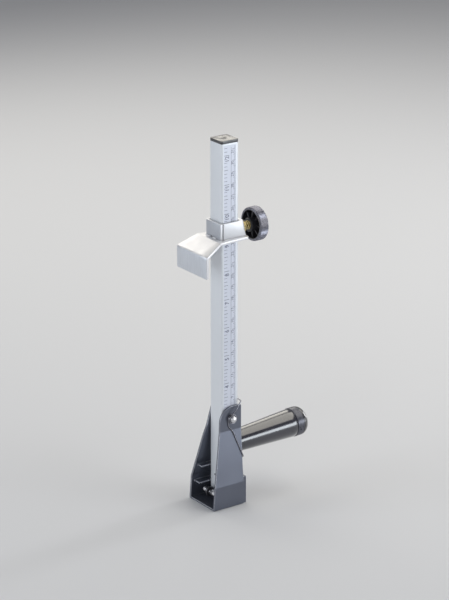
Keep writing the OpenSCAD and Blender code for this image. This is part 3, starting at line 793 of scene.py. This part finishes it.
# %% [markdown]
# ## The moulded guard
# The CAD shell has every wall and rib in place but its edges are knife sharp. A copy is merged into
# one skin, its flat areas are dissolved into single faces, and every edge gets the small radius that
# a mould leaves. The rolled faces are marked for a lighter finish, a painted highlight on the sharp
# edges, and the flat folds between the side faces are left out of that. Weighted normals keep the flat
# walls flat.

# %% Guard
FLAT_FOLD = 0.96
WEIGHT = 0.5
RIB_LEVELS = [level * MM for level in (14.9, 16.5, 29.8, 31.4)]


def on_rib(a, b):
    """Free edges of the inner ribs, which all have an end beside the column."""
    level = any(abs(a.z - z) < 0.05 * MM and abs(b.z - z) < 0.05 * MM for z in RIB_LEVELS)
    return level and min(abs(a.x), abs(b.x)) < 10 * MM


def bent_edges(obj, angle):
    """Numbers of the edges where two faces meet at more than this angle."""
    only(obj)
    bpy.ops.object.mode_set(mode="EDIT")
    bpy.ops.mesh.select_mode(type="EDGE")
    bpy.ops.mesh.select_all(action="DESELECT")
    bpy.ops.mesh.edges_select_sharp(sharpness=math.radians(angle))
    done()
    return {edge.index for edge in obj.data.edges if edge.select}


def softened_copy(node_name, name, radius, segments=2, fold_length=1.0, mark=-1, more=None):
    """Merged copy of a CAD node with rolled edges.

    Folds flatter than 25 degrees are rolled when they are longer than fold_length, and the edges that
    pass the test in more roll twice as far.
    """
    source = frame["nodes"][node_name]
    copy = source.copy()
    copy.data = source.data.copy()
    # The second finish on the rolled faces is lighter: a painted highlight.
    if mark > 0:
        copy.data.materials.append(EDGE_HIGHLIGHT_PAINT)
    bpy.context.collection.objects.link(copy)
    copy.parent = None
    only(copy)
    named(name)
    settle(copy)
    recalculated(copy)
    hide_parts(node_name)
    if radius == 0:
        return copy
    only(copy)
    bpy.ops.object.mode_set(mode="EDIT")
    bpy.ops.mesh.select_all(action="SELECT")
    bpy.ops.mesh.dissolve_limited(angle_limit=math.radians(1))
    done()
    sharp, bent = bent_edges(copy, 25), bent_edges(copy, 7)
    weights = copy.data.attributes.new("bevel_weight_edge", "FLOAT", "EDGE")
    points = [vertex.co for vertex in copy.data.vertices]
    for edge in copy.data.edges:
        a, b = (points[i] for i in edge.vertices)
        if edge.index in sharp or (edge.index in bent and (a - b).length > fold_length):
            weights.data[edge.index].value = 1 if more and more(a, b) else WEIGHT
    modified(copy, "BEVEL", width=radius / WEIGHT, segments=segments, limit_method="WEIGHT",
             use_clamp_overlap=mark < 0, material=mark)
    only(copy)
    bpy.ops.object.shade_smooth()
    modified(copy, "WEIGHTED_NORMAL", mode="FACE_AREA", weight=100)
    return copy


# The guard's rolled faces take the lighter finish, a painted highlight; the side-wall faces keep the plain
# plastic.
guard = softened_copy("guard_housing", "guard_moulding", 0.35 * MM, 3, 5 * MM, 1, on_rib)
for face in guard.data.polygons:
    if abs(face.normal.x) > FLAT_FOLD:
        face.material_index = 0
finish_piece(guard, "guard", "guard_plastic", FINISHES["guard_plastic"], EDGE_HIGHLIGHT_PAINT)

# %% [markdown]
# ## The knob
# Turned like the real mould cavity: rim, thin web and hub in one outline. Every other column of the
# rim is pressed in for grip.

# %% Knob body
knob_low, knob_high = (Vector(v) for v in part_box("clamp_knob"))
insert_low, insert_high = (Vector(v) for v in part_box("knob_insert"))
KNOB_Z = (knob_low.z + knob_high.z) / 2
KNOB_R = 14.8 * MM
RIM_WIDTH = 8.8 * MM
RIM_T = 2.6 * MM
WEB_T = 2.4 * MM
HUB_R = 6 * MM
BORE_R = 3.95 * MM
GRIP_GROOVES = 84
GROOVE_DEPTH = 0.3 * MM
RIM_ROLL = 1.3 * MM
CROWN = 0.6 * MM
LIGHT_RIM_DEPTH = 2.0 * MM

knob_face = knob_high.y - CROWN
rim_start = knob_face - RIM_WIDTH
hub_start = knob_low.y
web_start = knob_face - WEB_T
knob_outline = [(0, web_start), (BORE_R, web_start), (BORE_R, hub_start),
                (HUB_R - 0.4 * MM, hub_start), (HUB_R, hub_start + 0.5 * MM), (HUB_R + 0.3 * MM, web_start),
                (KNOB_R - RIM_T - 0.3 * MM, web_start), (KNOB_R - RIM_T, rim_start + 0.6 * MM)]
knob_outline += arc((KNOB_R - RIM_T + 0.6 * MM, rim_start + 0.6 * MM), 0.6 * MM, 180, 270, 4)
knob_outline += arc((KNOB_R - RIM_ROLL, rim_start + RIM_ROLL), RIM_ROLL, -90, 0, 7)
knob_outline += arc((KNOB_R - RIM_ROLL, knob_face - RIM_ROLL), RIM_ROLL, 0, 90, 7)
knob_outline += [(KNOB_R - 3 * MM, knob_face), (KNOB_R - 3.4 * MM, knob_face - 0.5 * MM),
                 (KNOB_R - 4 * MM, knob_face - 0.5 * MM), (HUB_R + 1 * MM, knob_high.y - 0.2 * MM),
                 (HUB_R - 1 * MM, knob_high.y), (0, knob_high.y)]
knob = turned("knob_moulding", (0, 0, KNOB_Z), (0, 1, 0), knob_outline, steps=2 * GRIP_GROOVES)


def in_groove(p):
    radius = math.hypot(p.x, p.z - KNOB_Z)
    column_number = round(math.atan2(p.z - KNOB_Z, p.x) / math.tau * 2 * GRIP_GROOVES)
    return radius > KNOB_R - 0.3 * MM and column_number % 2 == 0


pick(knob, "VERT", in_groove)
bpy.ops.transform.resize(value=(1 - GROOVE_DEPTH / KNOB_R, 1, 1 - GROOVE_DEPTH / KNOB_R),
                         center_override=(0, knob_face, KNOB_Z))
done()
smoothed(knob, 28)

# %% [markdown]
# ### The knob's ribs
# Eight thin ribs tie hub and rim. Each runs a little into both, and its outer end is lower. The rim's
# outer faces are marked for a second, lighter grey finish.

# %% Knob ribs
RIBS = 8
RIB_T = 1.2 * MM
RIB_OVERLAP = 0.4 * MM
RIB_DROP = 0.8 * MM
RIB_SET = 0.6 * MM
length = KNOB_R - RIM_T - HUB_R + 2 * RIB_OVERLAP
middle_y = (rim_start + web_start) / 2
ribs = []
for i in range(RIBS):
    bpy.ops.object.select_all(action="DESELECT")
    bpy.ops.mesh.primitive_cube_add(
        size=1, location=(HUB_R + length / 2 - RIB_OVERLAP, middle_y + RIB_SET, 0))
    rib = named(f"knob_rib_{i}")
    rib.scale = (length, web_start - rim_start - 1.0 * MM, RIB_T)
    settle(rib)
    pick(rib, "VERT", lambda p: p.x > HUB_R + length / 2 and p.y < middle_y)
    bpy.ops.transform.translate(value=(0, RIB_DROP, 0))
    done()
    rounded(rib, 0.2 * MM, 2)
    rib.rotation_euler = (0, i * math.tau / RIBS, 0)
    rib.location = (0, 0, KNOB_Z)
    ribs.append(settle(rib))
joined([knob] + ribs)
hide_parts("clamp_knob")
# The rim's outer faces take the lighter grey finish.
for face in knob.data.polygons:
    reach = math.hypot(face.center.x, face.center.z - KNOB_Z)
    face.material_index = int(reach > KNOB_R - LIGHT_RIM_DEPTH)
finish_piece(knob, "knob", "knob_plastic", FINISHES["knob_plastic"], RIM_FINISH)

# %% [markdown]
# ## The handle
# The dipped grip and the end cap are turned on one axis that rises a little away from the column. The
# cap has a dull band, marked for its own finish, and a polished dome.

# %% Handle
HANDLE_Z = 51.5 * MM
HANDLE_RISE = 2.8
FERRULE_T = 2.0 * MM
GRIP_START, GRIP_END = 9.9 * MM, 12.7 * MM
GRIP_ROLL = 1.2 * MM
GRIP_STEPS = 12
CAP_RADIUS = 13.0 * MM
CAP_BAND, CAP_DOME = 7.0 * MM, 8.0 * MM
CAP_ROLL = 0.5 * MM
CORE_RADIUS = 6.4 * MM
BAND_DEPTH = 0.6 * MM
HANDLE_LENGTH = 77.8 * MM

rise = math.radians(HANDLE_RISE)
handle_base = (0, column_high.y, HANDLE_Z)
handle_axis = (0, math.cos(rise), math.sin(rise))
grip_tip = HANDLE_LENGTH - CAP_BAND - CAP_DOME
grip_outline = [(CORE_RADIUS, FERRULE_T)]
grip_outline += arc((GRIP_START - GRIP_ROLL, FERRULE_T + GRIP_ROLL), GRIP_ROLL, -90, 0, 6)
grip_outline += [(GRIP_START + (GRIP_END - GRIP_START) * i / GRIP_STEPS,
                  FERRULE_T + GRIP_ROLL + (grip_tip - FERRULE_T - 1.8 * MM) * i / GRIP_STEPS)
                 for i in range(1, GRIP_STEPS + 1)]
grip_outline += [(GRIP_END - 0.2 * MM, grip_tip - 0.2 * MM), (GRIP_END - 0.6 * MM, grip_tip),
                 (CORE_RADIUS, grip_tip), (CORE_RADIUS, FERRULE_T)]
grip = turned("grip_sleeve", handle_base, handle_axis, grip_outline, 128)
smoothed(grip, 30)
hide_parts("handle_grip")
finish_piece(grip, "column", "grip_vinyl", FINISHES["grip_vinyl"])

dome_start = grip_tip + CAP_BAND
cap_start = grip_tip + 0.05 * MM
cap_outline = [(CORE_RADIUS, cap_start), (CAP_RADIUS - CAP_ROLL, cap_start)]
cap_outline += arc((CAP_RADIUS - CAP_ROLL, cap_start + CAP_ROLL), CAP_ROLL, -90, 0, 4)[1:]
cap_outline += [(CAP_RADIUS, dome_start - 0.6 * MM), (CAP_RADIUS - 0.45 * MM, dome_start - 0.3 * MM),
                (CAP_RADIUS - 0.45 * MM, dome_start), (CAP_RADIUS - 0.1 * MM, dome_start + 0.25 * MM)]
cap_outline += [((CAP_RADIUS - 0.1 * MM) * math.cos(a),
                 dome_start + 0.25 * MM + (CAP_DOME - 0.25 * MM) * math.sin(a))
                for a in [math.radians(6 * k) for k in range(1, 16)]]
cap_outline[-1] = (0, HANDLE_LENGTH)
cap_outline += [(0, dome_start), (CORE_RADIUS, dome_start), (CORE_RADIUS, cap_start)]
end_cap = turned("handle_cap", handle_base, handle_axis, cap_outline, 128)
smoothed(end_cap, 30)
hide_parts("handle_end_cap")
along_axis = Vector(handle_axis)
for face in end_cap.data.polygons:
    reach = (face.center - Vector(handle_base)).dot(along_axis)
    side = (face.center - Vector(handle_base) - along_axis * reach).length
    face.material_index = int(reach < dome_start and side > CAP_RADIUS - BAND_DEPTH)
finish_piece(end_cap, "column", "end_plastic", FINISHES["end_plastic"], BAND_FINISH)

# %% [markdown]
# ## Brass and the clamp screw
# The screw is turned with a zigzag outline, which reads as its fine thread. The insert that is moulded
# into the knob gets a ring of pressed flutes.

# %% Screw and insert
SCREW_R = 2.9 * MM
THREAD_PITCH = 1.0 * MM
THREAD_DEPTH = 0.4 * MM
SCREW_TIP = 1.5 * MM
screw_low, screw_high = (Vector(v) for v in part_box("clamp_screw"))
crest = screw_low.y + SCREW_TIP
screw_outline = [(0, screw_low.y), (SCREW_R * 0.6, screw_low.y), (SCREW_R * 0.6, crest)]
while crest + THREAD_PITCH < screw_high.y:
    screw_outline += [(SCREW_R - THREAD_DEPTH, crest), (SCREW_R, crest + THREAD_PITCH * 0.4),
                      (SCREW_R, crest + THREAD_PITCH * 0.6)]
    crest += THREAD_PITCH
screw_outline += [(SCREW_R - THREAD_DEPTH, screw_high.y), (0, screw_high.y)]
screw = turned("clamp_thread", (0, 0, KNOB_Z), (0, 1, 0), screw_outline, 48)
smoothed(screw, 25)
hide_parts("clamp_screw")
finish_piece(screw, "knob", "brass", FINISHES["brass"])

FLUTES = 20
FLUTE_DEPTH = 0.86
INSERT_R = 3.9 * MM
INSERT_BORE = SCREW_R + 0.05 * MM
NOSE_STEP = 0.4 * MM
nose = insert_low.y + 1.6 * MM
insert_outline = [(INSERT_BORE, insert_low.y), (INSERT_R - 2 * NOSE_STEP, insert_low.y),
                  (INSERT_R - NOSE_STEP, insert_low.y + NOSE_STEP), (INSERT_R - NOSE_STEP, nose - 0.3 * MM),
                  (INSERT_R, nose), (INSERT_R, insert_high.y), (INSERT_BORE, insert_high.y),
                  (INSERT_BORE, insert_low.y)]
insert = turned("brass_insert", (0, 0, KNOB_Z), (0, 1, 0), insert_outline, 4 * FLUTES)


def in_flute(p):
    column_number = round(math.atan2(p.z - KNOB_Z, p.x) / math.tau * 4 * FLUTES)
    return p.y < nose and math.hypot(p.x, p.z - KNOB_Z) > SCREW_R + 0.2 * MM and column_number % 4 == 0


pick(insert, "VERT", in_flute)
bpy.ops.transform.resize(value=(FLUTE_DEPTH, 1, FLUTE_DEPTH), center_override=(0, nose, KNOB_Z))
done()
smoothed(insert, 20)
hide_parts("knob_insert")
finish_piece(insert, "knob", "brass", FINISHES["brass"])

# %% [markdown]
# ## Small turned parts and wire
# Pins, washers, the wheel and its axle have the right shape already. Like the guard, each is copied,
# merged and given a small rolled edge. The spring wire gets one level of subdivision, so it is round.

# %% Small parts
BODY_OF = {member: body for body, members in frame["record"]["behaviour"]["bodies"].items()
           for member in members}
SMALL_PARTS = {
    "clamp_nut": ("pad_nut", 0.25), "clamp_shoe": ("pressure_pad", 0.2),
    "pivot_pin": ("hinge_pin", 0.12), "spring_bush": ("coil_bush", 0.1),
    "pivot_washer": ("pin_washer", 0.1), "retaining_clip": ("pin_clip", 0.1),
    "wheel_holder": ("wheel_fork", 0.2), "holder_screws": ("fork_screws", 0.1),
    "wheel_axle": ("axle_rod", 0.2), "axle_sleeves": ("axle_collars", 0.15),
    "score_wheel": ("scoring_disc", 0.05), "handle_ferrule": ("handle_seat", 0.2),
}
for node_name, (new_name, radius) in SMALL_PARTS.items():
    part = softened_copy(node_name, new_name, radius * MM)
    finish = WHEEL_FINISH if node_name == "score_wheel" else FINISHES[SLOTS[node_name]]
    finish_piece(part, BODY_OF[node_name], SLOTS[node_name], finish)

for node_name, new_name in (("spring_coil", "coil_wire"), ("spring_guard_leg", "leg_wire")):
    wire = softened_copy(node_name, new_name, 0)
    modified(wire, "SUBSURF", levels=1, render_levels=1)
    smoothed(wire, 60)
    finish_piece(wire, BODY_OF[node_name], SLOTS[node_name], FINISHES[SLOTS[node_name]])

# %% [markdown]
# ## Floor and lamps
# A plain pale floor, a dim even world and six soft panels. Warm panels behind and above light the top
# faces, cool ones in front and on the right light the upright faces, and a low one in front of the
# right corner keeps the column's rounded corner bright.

# %% Stage
bpy.ops.object.select_all(action="DESELECT")
bpy.ops.mesh.primitive_plane_add(size=14, location=(0, 0, -0.2 * MM))
floor = named("floor")
floor.data.materials.append(new_finish("floor_paper", (0.60, 0.61, 0.635), 0.0, 0.9)[0])
settle(floor)

world = bpy.data.worlds.new("studio")
bpy.context.scene.world = world
world.use_nodes = True
background = world.node_tree.nodes["Background"]
background.inputs["Color"].default_value = (0.62, 0.62, 0.64, 1)
background.inputs["Strength"].default_value = 0.4


def panel(name, place, target, width, height, power, colour):
    """A soft panel light that the camera itself doesn't see."""
    bpy.ops.object.light_add(type="AREA", location=place)
    lamp = bpy.context.object
    lamp.name = name
    lamp.data.shape = "RECTANGLE"
    lamp.data.size = width
    lamp.data.size_y = height
    lamp.data.energy = power
    lamp.data.color = colour
    lamp.rotation_euler = (Vector(target) - Vector(place)).to_track_quat("-Z", "Y").to_euler()
    lamp.visible_camera = False
    return lamp


WARM, PLAIN, COOL = (1.0, 0.96, 0.87), (1.0, 1.0, 1.0), (0.90, 0.95, 1.0)
panel("back_panel", (-1.3, 0.3, 1.0), (0, 0, 0.2), 1.6, 0.9, 10.2, WARM)
panel("overhead_panel", (0.15, 0.75, 1.35), (0, 0, 0.15), 1.7, 0.9, 10.6, WARM)
panel("right_panel", (1.25, 0.82, 0.27), (0, 0, 0.1), 1.0, 0.5, 9.4, COOL)
panel("rear_strip", (-0.1, 1.6, 0.5), (0, 0, 0.1), 0.25, 0.9, 7, PLAIN)
panel("front_panel", (-0.6, -1.5, 0.6), (0, 0, 0.15), 1.2, 1.1, 11.3, COOL)
panel("corner_panel", (0.80, -1.15, 0.25), (0, 0, 0.15), 0.4, 0.5, 2.7, PLAIN)
print("lamps and floor made")
